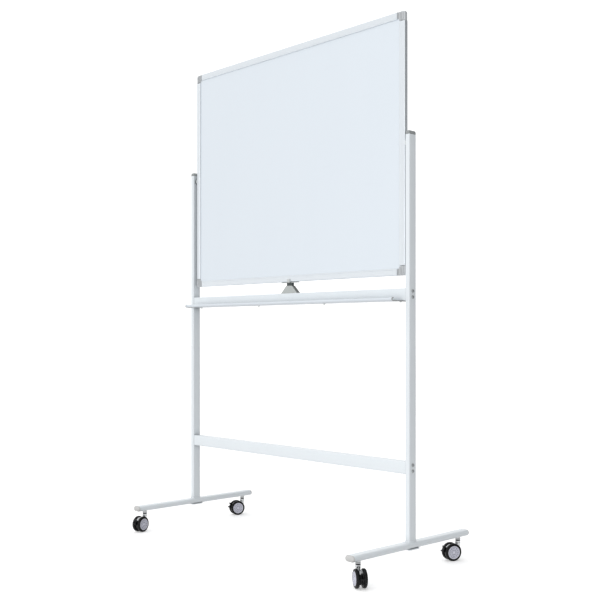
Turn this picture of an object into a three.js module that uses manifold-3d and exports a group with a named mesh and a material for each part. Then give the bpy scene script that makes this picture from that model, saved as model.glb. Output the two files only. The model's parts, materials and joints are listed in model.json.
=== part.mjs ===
// A rolling whiteboard: a double-sided writing board that turns over between two posts,
// on a pair of feet with four braked swivel casters.
//
// Millimetres, +Z up. The origin is on the floor, midway between the posts and midway along
// the feet. X runs along the board's width. The board's front face looks along -Y.

import * as THREE from 'three';
import { mergeVertices } from 'three/addons/utils/BufferGeometryUtils.js';
import Module from 'manifold-3d';

const wasm = await Module();
wasm.setup();

// ---------------------------------------------------------------- driving dimensions

const GAP = 0.3; // clearance between pieces that touch or nearly touch

const board = { width: 1150, height: 896, depth: 17, pivotZ: 1448 };
const rail = { face: 25, cornerRadius: 3, slotDepth: 12, slotWidth: 10.6 };
const corner = { leg: 34, depth: 18.6, chamfer: 13, radius: 9 };
const panel = { edgeInset: 13.6, thickness: 10, skin: 0.8 };

const post = { width: 18, depth: 35, wall: 1.5, innerX: 585, topZ: 1473, cornerRadius: 2.5 };
const crossbar = { height: 42, depth: 31, wall: 1.5, cornerRadius: 3, upperZ: 935.3, lowerZ: 350.8 };
const postPlug = { length: 14, domeHeight: 13.5, shoulder: 5.5, cornerRadius: 1 };
const joint = {
  boltSpacing: 20, boltRadius: 3, headRadius: 5.2, headLength: 3.6, headEdge: 1.4, headTaper: 1.6,
  insertLength: 26, insertCornerRadius: 1.2,
};

const foot = { length: 588, width: 40, height: 21, wall: 1.6, centreZ: 93 };
const footCap = { length: 7, plugLength: 14 };
const footPlate = {
  width: 38, length: 52, thickness: 3.6, cornerRadius: 4,
  studSpacing: 18, studRadius: 3, studRise: 46, headRadius: 5.5, headHeight: 3,
};

const pivot = { pinRadius: 5, collarRadius: 10, railDepth: 9, postDepth: 13 };

const tray = { length: 1142, frontY: -70, rearY: 14, sheet: 1.2, lipRadius: 5.6, lipSweep: 215 };
const trayTrim = { thickness: 2, grow: 0.9, underside: 1.6, lipWidth: 5 };
const trayScrew = { spacing: 366.5, headRadius: 5, headHeight: 3, shankRadius: 2.1, shankLength: 9 };

const latch = {
  bracketBase: 90, bracketHeight: 28.5, bracketDepth: 18, sheet: 2,
  blockWidth: 27, blockDepth: 13.4, blockHeight: 27.2,
  wingLength: 93, wingDepth: 11, wingThickness: 3, wingCornerRadius: 3,
  prongWidth: 14, prongThickness: 3, prongRise: 11.4,
  springRadius: 4, wireRadius: 0.6, springTurns: 5, pocketRadius: 5.2, pocketDepth: 18,
  guideRadius: 2.2, guideLength: 23,
};

const caster = {
  stemY: 259, trail: 25, wheelRadius: 31, wheelWidth: 12.7, innerX: 6.3,
  axleRadius: 3, stemRadius: 4, neckRadius: 7.5, neckBottomZ: 58, neckTopZ: 75.2,
  frameRadius: 27, frameHalfWidth: 5, bodyRadius: 21, plateInnerX: 1,
  stemOverlap: 6.5, nutRadius: 8, bridgeLength: 19, bridgeHeight: 14, bridgeY: -2.5, bridgeDrop: 6,
};
const wheelEdge = {
  tread: 2.6, innerTread: 2.4, rimWidth: 3.4, rimStep: 0.4, rimDepth: 0.8, boreDepth: 10.6,
};
const pedal = {
  innerX: 1.5, hubRadius: 17, armHeight: 6, reach: 38.5, width: 12, treadHeight: 5, clearance: 1.5, tilt: 8,
};
// Each caster stands turned its own way; the angle turns its trailing wheels from -Y.
const casterTurns = {
  front_right: { side: 1, end: -1, degrees: 58 },
  rear_right: { side: 1, end: 1, degrees: -23 },
  front_left: { side: -1, end: -1, degrees: 14 },
  rear_left: { side: -1, end: 1, degrees: -20 },
};

// ---------------------------------------------------------------- derived values

const boardHalfWidth = board.width / 2;
const boardHalfHeight = board.height / 2;
const boardBottomZ = board.pivotZ - boardHalfHeight;
const postCentreX = post.innerX + post.width / 2;
const postOuterX = post.innerX + post.width;
const footTopZ = foot.centreZ + foot.height / 2;
const footBottomZ = foot.centreZ - foot.height / 2;
const crossbarTopZ = crossbar.upperZ + crossbar.height / 2;
const crossbarBottomZ = crossbar.upperZ - crossbar.height / 2;
const trayBottomZ = crossbarBottomZ - GAP - tray.sheet;
const bracketBottomZ = crossbarTopZ + GAP;
const wingBottomZ = boardBottomZ - 0.8 - latch.wingThickness;
const sideNames = { '-1': 'left', 1: 'right' };

// ---------------------------------------------------------------- materials

const paint = (color, roughness, metalness) => () =>
  new THREE.MeshStandardMaterial({ color, roughness, metalness });

const powderCoat = paint(0xe6ebee, 0.45, 0.1);
const aluminium = paint(0xdfe5e9, 0.35, 0.6);
const enamel = paint(0xe9f0f7, 0.12, 0.0);
const coreBoard = paint(0xb9a17c, 0.9, 0.0);
const greyPlastic = paint(0xb4b8ba, 0.55, 0.0);
const darkPlastic = paint(0x3b4244, 0.5, 0.0);
const steel = paint(0xb9bdbd, 0.35, 0.8);
const blackSteel = paint(0x2c3032, 0.4, 0.5);
const chrome = paint(0xc9cdcf, 0.15, 1.0);
const tyreBlack = paint(0x17191b, 0.6, 0.0);

// ---------------------------------------------------------------- shape helpers

const radians = THREE.MathUtils.degToRad;

// The turn that carries a shape's own X, Y and extrusion axes onto the part's axes.
const turns = {
  z: new THREE.Matrix4(),
  x: new THREE.Matrix4().makeBasis(
    new THREE.Vector3(0, 1, 0), new THREE.Vector3(0, 0, 1), new THREE.Vector3(1, 0, 0)),
  y: new THREE.Matrix4().makeBasis(
    new THREE.Vector3(1, 0, 0), new THREE.Vector3(0, 0, 1), new THREE.Vector3(0, -1, 0)),
};

function roundedRectangle(width, height, radius) {
  const x = width / 2 - radius;
  const y = height / 2 - radius;
  const shape = new THREE.Shape();
  shape.absarc(x, y, radius, 0, Math.PI / 2);
  shape.absarc(-x, y, radius, Math.PI / 2, Math.PI);
  shape.absarc(-x, -y, radius, Math.PI, 1.5 * Math.PI);
  shape.absarc(x, -y, radius, 1.5 * Math.PI, 2 * Math.PI);
  return shape;
}

function polygon(points) {
  return new THREE.Shape(points.map(([x, y]) => new THREE.Vector2(x, y)));
}

// A prism of the shape, centred on its own length, running along the named axis.
function prism(shape, length, axis, curveSegments = 3) {
  const geometry = new THREE.ExtrudeGeometry(shape, { depth: length, bevelEnabled: false, curveSegments });
  geometry.translate(0, 0, -length / 2);
  return geometry.applyMatrix4(turns[axis]);
}

function box(width, depth, height, x = 0, y = 0, z = 0) {
  return new THREE.BoxGeometry(width, depth, height).translate(x, y, z);
}

function rod(radius, length, axis, sides = 12) {
  const geometry = new THREE.CylinderGeometry(radius, radius, length, sides);
  geometry.rotateX(Math.PI / 2);
  return geometry.applyMatrix4(turns[axis]);
}

// A solid of revolution. Each point is [radius, distance along the axis].
function revolve(points, axis, sides = 16) {
  const profile = points.map(([radius, along]) => new THREE.Vector2(radius, along));
  const geometry = new THREE.LatheGeometry(profile, sides);
  geometry.rotateX(Math.PI / 2);
  return geometry.applyMatrix4(turns[axis]);
}

function toSolid(geometry) {
  const bare = geometry.clone();
  bare.deleteAttribute('normal');
  bare.deleteAttribute('uv');
  const merged = mergeVertices(bare, 1e-4);
  const kept = [];
  const index = merged.index.array;
  for (let i = 0; i < index.length; i += 3) {
    const [a, b, c] = [index[i], index[i + 1], index[i + 2]];
    if (a !== b && b !== c && c !== a) kept.push(a, b, c);
  }
  return new wasm.Manifold(new wasm.Mesh({
    numProp: 3,
    vertProperties: new Float32Array(merged.attributes.position.array),
    triVerts: new Uint32Array(kept),
  }));
}

function toGeometry(solid) {
  const mesh = solid.getMesh();
  const geometry = new THREE.BufferGeometry();
  geometry.setAttribute('position', new THREE.BufferAttribute(new Float32Array(mesh.vertProperties), 3));
  geometry.setIndex(new THREE.BufferAttribute(new Uint32Array(mesh.triVerts), 1));
  return geometry;
}

// Joins the first list of geometries into one solid and cuts the second list away from it.
function carve(joined, cuts = []) {
  let solid = toSolid(joined[0]);
  for (const extra of joined.slice(1)) solid = solid.add(toSolid(extra));
  for (const cut of cuts) solid = solid.subtract(toSolid(cut));
  return toGeometry(solid);
}

function piece(name, geometry, material, x = 0, y = 0, z = 0) {
  const mesh = new THREE.Mesh(geometry, material());
  mesh.name = name;
  mesh.position.set(x, y, z);
  return mesh;
}

function tubeShape(width, height, radius, wall) {
  const shape = roundedRectangle(width, height, radius);
  shape.holes.push(roundedRectangle(width - 2 * wall, height - 2 * wall, Math.max(radius - wall, 0.5)));
  return shape;
}

// A pillow-topped slab of the outline, its flat side at 0 and its rounded side, drawn in by the
// shoulder, at the given height.
function pillow(outlineOf, height, axis, shoulder = height - 1) {
  const geometry = new THREE.ExtrudeGeometry(outlineOf(shoulder), {
    depth: 1, bevelThickness: height - 1, bevelSize: shoulder, bevelSegments: 3, curveSegments: 3,
  });
  const upperHalf = box(400, 400, 400, 0, 0, 200);
  const solid = toSolid(geometry).intersect(toSolid(upperHalf));
  return toGeometry(solid).applyMatrix4(turns[axis]);
}

// ---------------------------------------------------------------- posts and crossbars

const boltHeights = [crossbar.upperZ, crossbar.lowerZ].flatMap(
  (z) => [z - joint.boltSpacing / 2, z + joint.boltSpacing / 2]);

function postTube(side) {
  const bottomZ = footTopZ + GAP;
  const length = post.topZ - bottomZ;
  const centreZ = bottomZ + length / 2;
  const tube = prism(tubeShape(post.width, post.depth, post.cornerRadius, post.wall), length, 'z');
  const boltHoles = boltHeights.map(
    (z) => rod(joint.boltRadius + GAP, post.width + 2, 'x', 10).translate(0, 0, z - centreZ));
  const pinHole = rod(pivot.pinRadius + GAP, post.width, 'x', 16);
  pinHole.translate(-side * post.width / 2, 0, board.pivotZ - centreZ);
  return piece(`${sideNames[side]}_post`, carve([tube], [...boltHoles, pinHole]), powderCoat,
    side * postCentreX, 0, centreZ);
}

function postCap(side) {
  const outline = (edge) => roundedRectangle(post.width - 2 * edge, post.depth - 2 * edge, 1.5);
  const dome = pillow(outline, postPlug.domeHeight, 'z', postPlug.shoulder);
  const plugWidth = post.width - 2 * post.wall - 2 * GAP;
  const plugDepth = post.depth - 2 * post.wall - 2 * GAP;
  const plug = prism(roundedRectangle(plugWidth, plugDepth, postPlug.cornerRadius), postPlug.length, 'z');
  plug.translate(0, 0, 1 - postPlug.length / 2);
  return piece(`${sideNames[side]}_post_cap`, carve([dome, plug]), darkPlastic,
    side * postCentreX, 0, post.topZ + GAP);
}

function crossbarTube(name, z, holes) {
  const length = 2 * (post.innerX - GAP);
  const shape = tubeShape(crossbar.depth, crossbar.height, crossbar.cornerRadius, crossbar.wall);
  return piece(name, carve([prism(shape, length, 'x')], holes), powderCoat, 0, 0, z);
}

function upperCrossbar() {
  const screwHoles = trayScrewXs().map(
    (x) => rod(trayScrew.shankRadius + GAP, 6, 'z').translate(x, 0, -crossbar.height / 2));
  const guideHole = rod(latch.guideRadius + GAP, 6, 'z').translate(0, 0, crossbar.height / 2);
  return crossbarTube('upper_crossbar', crossbar.upperZ, [...screwHoles, guideHole]);
}

// A threaded insert in the end of a crossbar, with the pair of bolts that clamps it to the post.
function crossbarBolts(name, side, z) {
  const insertDepth = crossbar.depth - 2 * crossbar.wall - 2 * GAP;
  const insertHeight = crossbar.height - 2 * crossbar.wall - 2 * GAP;
  const insertX = post.innerX - 2 * GAP - joint.insertLength / 2;
  const headX = postOuterX + GAP;
  const insertShape = roundedRectangle(insertDepth, insertHeight, joint.insertCornerRadius);
  const solids = [prism(insertShape, joint.insertLength, 'x').translate(insertX, 0, 0)];
  for (const dz of [-joint.boltSpacing / 2, joint.boltSpacing / 2]) {
    const shankLength = headX - insertX + 1;
    solids.push(rod(joint.boltRadius, shankLength, 'x').translate(insertX + shankLength / 2, 0, dz));
    const head = revolve([
      [0, 0], [joint.headRadius, 0], [joint.headRadius, joint.headEdge],
      [joint.headRadius - joint.headTaper, joint.headLength], [0, joint.headLength],
    ], 'x', 12);
    solids.push(head.translate(headX, 0, dz));
  }
  const bolts = piece(name, carve(solids), blackSteel, 0, 0, z);
  if (side < 0) bolts.rotation.z = Math.PI;
  return bolts;
}

// ---------------------------------------------------------------- feet

function footTube(side) {
  const shape = tubeShape(foot.width, foot.height, foot.height / 2 - 0.01, foot.wall);
  const holes = [];
  for (const end of [-1, 1]) {
    const stemHole = rod(caster.stemRadius + GAP, foot.height, 'z');
    const studHole = rod(footPlate.studRadius + GAP, foot.height + 2, 'z');
    holes.push(stemHole.translate(0, end * caster.stemY, -foot.height / 2));
    holes.push(studHole.translate(0, end * footPlate.studSpacing / 2, 0));
  }
  const tube = prism(shape, foot.length, 'y', 4);
  return piece(`${sideNames[side]}_foot`, carve([tube], holes), powderCoat,
    side * postCentreX, 0, foot.centreZ);
}

function footEndCap(side, end) {
  const half = foot.height / 2 - 0.01;
  const dome = pillow(
    (edge) => roundedRectangle(foot.width - 2 * edge, foot.height - 2 * edge, half - edge),
    footCap.length, 'y');
  const plugWidth = foot.width - 2 * foot.wall - 2 * GAP;
  const plugHeight = foot.height - 2 * foot.wall - 2 * GAP;
  const plugShape = roundedRectangle(plugWidth, plugHeight, plugHeight / 2 - 0.01);
  const plug = prism(plugShape, footCap.plugLength, 'y').translate(0, footCap.plugLength / 2 - 1, 0);
  const name = `${end < 0 ? 'front' : 'rear'}_${sideNames[side]}_foot_cap`;
  const cap = piece(name, carve([dome, plug]), greyPlastic,
    side * postCentreX, end * (foot.length / 2 + GAP), foot.centreZ);
  if (end > 0) cap.rotation.z = Math.PI;
  return cap;
}

// The plate under a foot, with the two studs that rise through the foot into its post.
function footBasePlate(side) {
  const topZ = footBottomZ - GAP;
  const { width, length, thickness, studSpacing, studRadius, studRise, headRadius, headHeight } = footPlate;
  const plate = prism(roundedRectangle(width, length, footPlate.cornerRadius), thickness, 'z');
  const solids = [plate.translate(0, 0, topZ - thickness / 2)];
  for (const y of [-studSpacing / 2, studSpacing / 2]) {
    solids.push(rod(studRadius, studRise, 'z').translate(0, y, topZ - 1 + studRise / 2));
    solids.push(rod(headRadius, headHeight, 'z', 6).translate(0, y, topZ - thickness - 1));
  }
  return piece(`${sideNames[side]}_foot_plate`, carve(solids), steel, side * postCentreX);
}

// ---------------------------------------------------------------- pen tray

function trayScrewXs() {
  return [-1.5, -0.5, 0.5, 1.5].map((step) => step * trayScrew.spacing);
}

// The tray's cross-section: a flat sheet whose front edge rolls up and back into a lip. It can
// be drawn thicker below the sheet and about the roll, for the trim on the sheet's ends.
function traySection(below = 0, grow = 0) {
  const centreY = tray.frontY + tray.lipRadius;
  const start = 1.5 * Math.PI;
  const finish = start - radians(tray.lipSweep);
  const outer = tray.lipRadius + grow;
  const inner = tray.lipRadius - tray.sheet - grow;
  const shape = new THREE.Shape();
  shape.moveTo(tray.rearY, -below);
  shape.lineTo(centreY, -below);
  shape.absarc(centreY, tray.lipRadius, outer, start, finish, true);
  shape.absarc(centreY, tray.lipRadius, inner, finish, start, false);
  shape.lineTo(tray.rearY, tray.sheet);
  return shape;
}

// The trim on an end of the tray: a thin plate across the end, with a lip under the sheet.
function trayEndTrim(side) {
  const { thickness, grow, underside, lipWidth } = trayTrim;
  const endX = side * tray.length / 2;
  const plate = prism(traySection(underside, grow), thickness, 'x', 8);
  const lipStartY = tray.frontY + 2 * tray.lipRadius;
  const lipCentreY = (tray.rearY + lipStartY) / 2;
  const lip = box(lipWidth, tray.rearY - lipStartY, underside, 0, lipCentreY, -underside / 2);
  return [plate.translate(endX, 0, 0), lip.translate(endX - side * (lipWidth - thickness) / 2, 0, 0)];
}

function penTray() {
  const sheet = prism(traySection(), tray.length, 'x', 8);
  const holes = trayScrewXs().map((x) => rod(trayScrew.shankRadius + GAP, 6, 'z').translate(x, 0, 0));
  return piece('pen_tray', carve([sheet, ...trayEndTrim(-1), ...trayEndTrim(1)], holes), powderCoat,
    0, 0, trayBottomZ);
}

function trayScrewPiece(number, x) {
  const { headRadius, headHeight, shankRadius, shankLength } = trayScrew;
  const screw = revolve([
    [0, -headHeight], [headRadius * 0.7, -headHeight * 0.8],
    [headRadius, 0], [shankRadius, 0], [shankRadius, shankLength], [0, shankLength + 1],
  ], 'z', 12);
  return piece(`tray_screw_${number}`, screw, steel, x, 0, trayBottomZ - GAP);
}

// ---------------------------------------------------------------- board latch

// A folded sheet bracket, open behind, below and above, that guides the catch.
function latchBracket() {
  const topHalf = latch.blockWidth / 2 + GAP + latch.sheet;
  const baseHalf = latch.bracketBase / 2;
  const outline = polygon([
    [-baseHalf, 0], [baseHalf, 0], [topHalf, latch.bracketHeight], [-topHalf, latch.bracketHeight]]);
  const hollow = polygon([
    [latch.sheet * 1.3 - baseHalf, -1], [baseHalf - latch.sheet * 1.3, -1],
    [topHalf - latch.sheet, latch.bracketHeight], [topHalf - latch.sheet, latch.bracketHeight + 1],
    [latch.sheet - topHalf, latch.bracketHeight + 1], [latch.sheet - topHalf, latch.bracketHeight]]);
  const inside = prism(hollow, latch.bracketDepth, 'y').translate(0, latch.sheet, 0);
  return piece('latch_bracket', carve([prism(outline, latch.bracketDepth, 'y')], [inside]), steel,
    0, 0, bracketBottomZ);
}

// The sliding catch: a block, two thumb wings, and a pair of prongs that straddle the board's bottom rail.
function latchCatch() {
  const block = box(latch.blockWidth, latch.blockDepth, latch.blockHeight + 1);
  block.translate(0, 0, 0.5 - latch.blockHeight / 2);
  const wingShape = roundedRectangle(latch.wingLength, latch.wingDepth, latch.wingCornerRadius);
  const wings = prism(wingShape, latch.wingThickness, 'z').translate(0, 0, latch.wingThickness / 2);
  const prongY = board.depth / 2 + 2 * GAP + latch.prongThickness / 2;
  const yokeDepth = 2 * prongY + latch.prongThickness;
  const yoke = box(latch.prongWidth, yokeDepth, latch.wingThickness, 0, 0, latch.wingThickness / 2);
  const prongs = [-1, 1].map((end) => box(latch.prongWidth, latch.prongThickness, latch.prongRise + 1,
    0, end * prongY, latch.wingThickness + (latch.prongRise - 1) / 2));
  const pocket = rod(latch.pocketRadius, latch.pocketDepth, 'z');
  pocket.translate(0, 0, -latch.blockHeight + latch.pocketDepth / 2 - 0.01);
  return piece('latch_catch', carve([block, wings, yoke, ...prongs], [pocket]), darkPlastic,
    0, 0, wingBottomZ);
}

class Helix extends THREE.Curve {
  constructor(radius, pitch, coils) {
    super();
    Object.assign(this, { radius, pitch, coils });
  }

  getPoint(t, target = new THREE.Vector3()) {
    const angle = 2 * Math.PI * this.coils * t;
    return target.set(
      this.radius * Math.cos(angle), this.radius * Math.sin(angle), this.pitch * this.coils * t);
  }
}

function latchSpring() {
  const bottomZ = crossbarTopZ + GAP + latch.wireRadius;
  const topZ = wingBottomZ - latch.blockHeight + latch.pocketDepth - GAP - latch.wireRadius;
  const helix = new Helix(latch.springRadius, (topZ - bottomZ) / latch.springTurns, latch.springTurns);
  const wire = new THREE.Shape().absarc(0, 0, latch.wireRadius, 0, 2 * Math.PI);
  const geometry = new THREE.ExtrudeGeometry(wire, {
    steps: latch.springTurns * 8, extrudePath: helix, curveSegments: 2,
  });
  return piece('latch_spring', toGeometry(toSolid(geometry)), steel, 0, 0, bottomZ);
}

function latchGuide() {
  const geometry = rod(latch.guideRadius, latch.guideLength, 'z');
  return piece('latch_guide_pin', geometry, steel, 0, 0, crossbarTopZ - 4 + latch.guideLength / 2);
}

// ---------------------------------------------------------------- writing board

// A rail's cross-section: outer edge at +X, the panel slot opening at -X.
function railShape() {
  const { face, cornerRadius: r, slotDepth, slotWidth } = rail;
  const half = board.depth / 2;
  const shape = new THREE.Shape();
  shape.moveTo(0, -half);
  shape.absarc(face - r, r - half, r, -Math.PI / 2, 0);
  shape.absarc(face - r, half - r, r, 0, Math.PI / 2);
  shape.lineTo(0, half);
  shape.lineTo(0, slotWidth / 2);
  shape.lineTo(slotDepth, slotWidth / 2);
  shape.lineTo(slotDepth, -slotWidth / 2);
  shape.lineTo(0, -slotWidth / 2);
  return shape;
}

function sideRail(side) {
  const length = board.height - 2 * (corner.leg + GAP);
  const profile = prism(railShape(), length, 'z');
  const pinHole = rod(pivot.pinRadius - 1 + GAP, 2 * pivot.railDepth, 'x').translate(rail.face, 0, 0);
  const mesh = piece(`${sideNames[side]}_rail`, carve([profile], [pinHole]), aluminium,
    side * (boardHalfWidth - rail.face), 0, board.pivotZ);
  if (side < 0) mesh.rotation.z = Math.PI;
  return mesh;
}

function levelRail(name, end) {
  const length = board.width - 2 * (corner.leg + GAP);
  const mesh = piece(name, prism(railShape(), length, 'z'), aluminium,
    0, 0, board.pivotZ + end * (boardHalfHeight - rail.face));
  mesh.rotation.y = -end * Math.PI / 2;
  return mesh;
}

// A moulded corner: rounded outside, chamfered inside, with a pocket for the panel's corner.
function cornerCap(side, end) {
  const { leg, chamfer, radius, depth } = corner;
  const shape = new THREE.Shape();
  shape.moveTo(leg - radius, leg);
  shape.lineTo(0, leg);
  shape.lineTo(0, chamfer);
  shape.lineTo(chamfer, 0);
  shape.lineTo(leg, 0);
  shape.absarc(leg - radius, leg - radius, radius, 0, Math.PI / 2);
  const pocketReach = leg - panel.edgeInset + 2 * GAP;
  const pocket = box(pocketReach + 10, rail.slotWidth, pocketReach + 10,
    (pocketReach - 10) / 2, 0, (pocketReach - 10) / 2);
  const mesh = piece(`${end > 0 ? 'top' : 'bottom'}_${sideNames[side]}_corner`,
    carve([prism(shape, depth, 'y')], [pocket]), greyPlastic,
    side * (boardHalfWidth - leg), 0, board.pivotZ + end * (boardHalfHeight - leg));
  // Quarter turns about Y carry the top right corner round to the other three.
  const quarterTurns = { '1,1': 0, '1,-1': 1, '-1,-1': 2, '-1,1': 3 };
  mesh.rotation.y = quarterTurns[`${side},${end}`] * Math.PI / 2;
  return mesh;
}

function panelLayer(name, thickness, y, material) {
  const width = board.width - 2 * panel.edgeInset;
  const height = board.height - 2 * panel.edgeInset;
  return piece(name, box(width, thickness, height), material, 0, y, board.pivotZ);
}

function panelLayers() {
  const skinY = (panel.thickness - panel.skin) / 2;
  const coreThickness = panel.thickness - 2 * (panel.skin + GAP);
  return [
    panelLayer('front_sheet', panel.skin, -skinY, enamel),
    panelLayer('panel_core', coreThickness, 0, coreBoard),
    panelLayer('rear_sheet', panel.skin, skinY, enamel),
  ];
}

// A collared pin: its inner end sits in the side rail, its outer end turns in the post's hole.
function pivotPin(side) {
  const collarStart = GAP;
  const collarEnd = post.innerX - boardHalfWidth - GAP;
  const tip = collarEnd + pivot.postDepth;
  const innerEnd = 1 - pivot.railDepth;
  const innerRadius = pivot.pinRadius - 1;
  const pin = revolve([
    [0, innerEnd], [innerRadius, innerEnd], [innerRadius, collarStart],
    [pivot.collarRadius, collarStart], [pivot.collarRadius, collarEnd], [pivot.pinRadius, collarEnd],
    [pivot.pinRadius, tip - 1], [innerRadius, tip], [0, tip],
  ], 'x', 16);
  const mesh = piece(`${sideNames[side]}_pivot_pin`, pin, steel, side * boardHalfWidth, 0, board.pivotZ);
  if (side < 0) mesh.rotation.z = Math.PI;
  return mesh;
}

// ---------------------------------------------------------------- casters
// A caster is built about its stem, its wheels trailing along -Y.

function casterStem(prefix) {
  const bottomZ = caster.neckBottomZ + caster.stemOverlap;
  const length = footBottomZ + foot.height / 2 - bottomZ;
  const stem = rod(caster.stemRadius, length, 'z').translate(0, 0, bottomZ + length / 2);
  const nutHeight = footBottomZ - caster.neckTopZ - 2 * GAP;
  const nut = rod(caster.nutRadius, nutHeight, 'z', 6).translate(0, 0, footBottomZ - GAP - nutHeight / 2);
  return piece(`${prefix}_stem`, carve([stem, nut]), blackSteel);
}

// The swivelling frame's plate, seen along the axle: a round body with a wider hood above it.
function casterPlateShape() {
  const shape = new THREE.Shape();
  shape.absarc(0, 0, caster.frameRadius, radians(20), radians(138), false);
  shape.absarc(0, 0, caster.bodyRadius, radians(146), radians(372), false);
  return shape;
}

function casterFrame(prefix) {
  const { trail, wheelRadius: axleZ, frameHalfWidth: half, neckRadius, neckBottomZ, neckTopZ } = caster;
  const plateWidth = half + caster.plateInnerX;
  const plateX = caster.plateInnerX - plateWidth / 2;
  const plate = prism(casterPlateShape(), plateWidth, 'x', 6).translate(plateX, -trail, axleZ);
  const bridge = box(2 * half, caster.bridgeLength, caster.bridgeHeight,
    0, caster.bridgeY, neckBottomZ - caster.bridgeDrop);
  const neck = rod(neckRadius, neckTopZ - neckBottomZ, 'z').translate(0, 0, (neckTopZ + neckBottomZ) / 2);
  const axle = rod(caster.axleRadius, 2 * (caster.innerX + 10), 'x').translate(0, -trail, axleZ);
  const bore = rod(caster.stemRadius + GAP, 20, 'z').translate(0, 0, neckBottomZ + 16);
  return piece(`${prefix}_caster_frame`, carve([plate, bridge, neck, axle], [bore]), chrome);
}

function casterWheel(prefix, which, side) {
  const { wheelRadius: r, wheelWidth: w, innerX, axleRadius } = caster;
  const { tread, innerTread, rimWidth, rimStep, rimDepth, boreDepth } = wheelEdge;
  const rim = r - tread - rimWidth;
  const wheel = revolve([
    [0, w - rimDepth], [rim - rimStep, w - rimDepth], [rim, w],
    [r - tread, w], [r, w - tread], [r, innerTread], [r - innerTread, 0],
    [axleRadius + GAP, 0], [axleRadius + GAP, boreDepth], [0, boreDepth],
  ].reverse(), 'x', 24);
  const mesh = piece(`${prefix}_wheel_${which}`, wheel, tyreBlack, side * innerX, -caster.trail, r);
  if (side < 0) mesh.rotation.z = Math.PI;
  return mesh;
}

// The brake pedal turns on the axle beside the frame's plate, its tread beyond the wheels.
function brakePedal(prefix) {
  const { trail, wheelRadius: axleZ, axleRadius, frameHalfWidth } = caster;
  const plateWidth = frameHalfWidth - pedal.innerX;
  const plateX = pedal.innerX + plateWidth / 2;
  const ring = rod(pedal.hubRadius, plateWidth, 'x', 24).translate(plateX, 0, 0);
  const arm = box(plateWidth, pedal.reach - 2, pedal.armHeight, plateX, 1 - pedal.reach / 2, 0);
  const treadLength = pedal.reach - axleZ - pedal.clearance;
  const tread = box(pedal.width, treadLength, pedal.treadHeight, 0, treadLength / 2 - pedal.reach, 0);
  const bore = rod(axleRadius + GAP, 20, 'x');
  const mesh = piece(`${prefix}_brake_pedal`, carve([ring, arm, tread], [bore]), tyreBlack,
    0, -trail, axleZ);
  mesh.rotation.x = -radians(pedal.tilt);
  return mesh;
}

function casterAssembly(name, { side, end, degrees }) {
  const assembly = new THREE.Group();
  assembly.add(
    casterStem(name),
    casterFrame(name),
    casterWheel(name, 'outer', 1),
    casterWheel(name, 'inner', -1),
    brakePedal(name),
  );
  assembly.position.set(side * postCentreX, end * caster.stemY, 0);
  assembly.rotation.z = radians(degrees);
  return assembly;
}

// ---------------------------------------------------------------- assembly

function assemble() {
  const group = new THREE.Group();
  for (const side of [-1, 1]) {
    group.add(postTube(side), postCap(side), footTube(side), footBasePlate(side));
    group.add(footEndCap(side, -1), footEndCap(side, 1));
    group.add(crossbarBolts(`upper_${sideNames[side]}_bolts`, side, crossbar.upperZ));
    group.add(crossbarBolts(`lower_${sideNames[side]}_bolts`, side, crossbar.lowerZ));
    group.add(sideRail(side), pivotPin(side), cornerCap(side, -1), cornerCap(side, 1));
  }
  group.add(upperCrossbar(), crossbarTube('lower_crossbar', crossbar.lowerZ, []));
  group.add(penTray(), trayEndTrim(-1), trayEndTrim(1));
  trayScrewXs().forEach((x, index) => group.add(trayScrewPiece(index + 1, x)));
  group.add(latchBracket(), latchCatch(), latchSpring(), latchGuide());
  group.add(levelRail('top_rail', 1), levelRail('bottom_rail', -1), ...panelLayers());
  for (const [name, placing] of Object.entries(casterTurns)) group.add(casterAssembly(name, placing));
  return group;
}

const group = assemble();
export default group;
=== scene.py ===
"""The looks of a rolling whiteboard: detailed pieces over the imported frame, materials and a studio."""
import bpy
import bmesh
import json
import math
from mathutils import Matrix, Vector


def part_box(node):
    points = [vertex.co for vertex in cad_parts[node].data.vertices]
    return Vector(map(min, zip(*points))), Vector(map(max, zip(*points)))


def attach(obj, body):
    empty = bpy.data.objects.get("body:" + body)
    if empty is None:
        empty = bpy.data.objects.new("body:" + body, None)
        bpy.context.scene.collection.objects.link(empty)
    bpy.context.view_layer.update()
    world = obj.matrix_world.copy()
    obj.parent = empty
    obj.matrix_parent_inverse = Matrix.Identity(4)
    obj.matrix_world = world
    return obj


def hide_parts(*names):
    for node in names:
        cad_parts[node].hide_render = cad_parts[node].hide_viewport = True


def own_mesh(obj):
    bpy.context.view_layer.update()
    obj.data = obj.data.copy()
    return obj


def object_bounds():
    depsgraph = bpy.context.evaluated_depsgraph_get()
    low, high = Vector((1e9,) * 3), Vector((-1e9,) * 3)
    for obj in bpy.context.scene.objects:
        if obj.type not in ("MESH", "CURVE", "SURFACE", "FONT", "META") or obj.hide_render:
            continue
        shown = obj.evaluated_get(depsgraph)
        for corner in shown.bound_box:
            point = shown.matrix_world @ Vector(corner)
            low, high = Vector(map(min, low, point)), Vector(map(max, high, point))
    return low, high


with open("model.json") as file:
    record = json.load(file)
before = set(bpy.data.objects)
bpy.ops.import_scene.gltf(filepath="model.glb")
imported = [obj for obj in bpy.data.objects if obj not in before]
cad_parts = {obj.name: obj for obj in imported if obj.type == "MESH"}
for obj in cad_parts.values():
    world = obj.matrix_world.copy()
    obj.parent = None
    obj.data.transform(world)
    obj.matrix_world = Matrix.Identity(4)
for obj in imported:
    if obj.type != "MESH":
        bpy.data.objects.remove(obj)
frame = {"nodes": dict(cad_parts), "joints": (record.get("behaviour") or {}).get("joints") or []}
cad_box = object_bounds()

# Meshes are built in millimetres and scaled to metres when they become pieces.
MM = 0.001
JOINTS = {joint["name"]: joint for joint in frame["joints"]}
SIDES = {"left": -1, "right": 1}
CASTERS = ("front_right", "rear_right", "front_left", "rear_left")

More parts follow.
